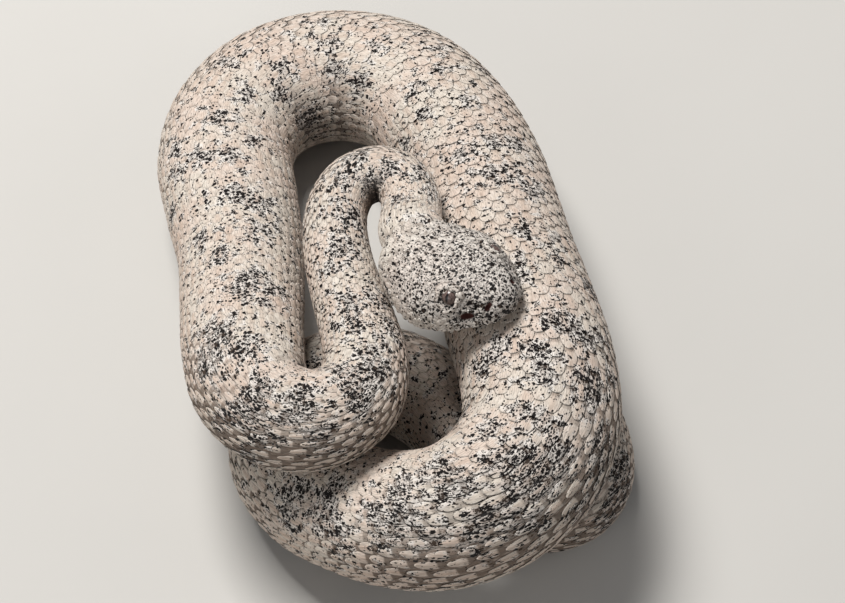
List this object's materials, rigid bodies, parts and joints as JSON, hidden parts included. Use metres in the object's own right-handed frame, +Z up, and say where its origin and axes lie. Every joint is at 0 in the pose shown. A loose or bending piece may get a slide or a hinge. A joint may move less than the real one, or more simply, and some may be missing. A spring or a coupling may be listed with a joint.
{
  "type": "coiled speckled rattlesnake",
  "caption": "Life-size still model of an adult speckled rattlesnake lying coiled on the ground, its head resting on its own body.",
  "frame": {"origin": "on the ground plane, under the middle of the coiled snake's outline seen from above", "axes": "+Y along the coil's long side, away from where the head faces the viewer; +Z up"},
  "size_m": [0.1478, 0.2229, 0.0809],
  "materials": {
    "skin": "matte scaly skin, cream with black specks",
    "eye": "wet, glossy, with an upright slit pupil",
    "rattle": "dry horn, satin"
  },
  "bodies": {
    "root": {"head": "skin", "jaw": "skin", "eye_left": "eye", "eye_right": "eye", "neck": "skin", "forebody": "skin", "left_loop": "skin", "left_limb": "skin", "back_arc": "skin", "right_limb": "skin", "right_bend": "skin", "front_limb": "skin", "under_hairpin": "skin", "under_limb": "skin", "under_bend": "skin", "hind_length": "skin", "tail": "skin", "rattle": "rattle"}
  },
  "joints": []
}
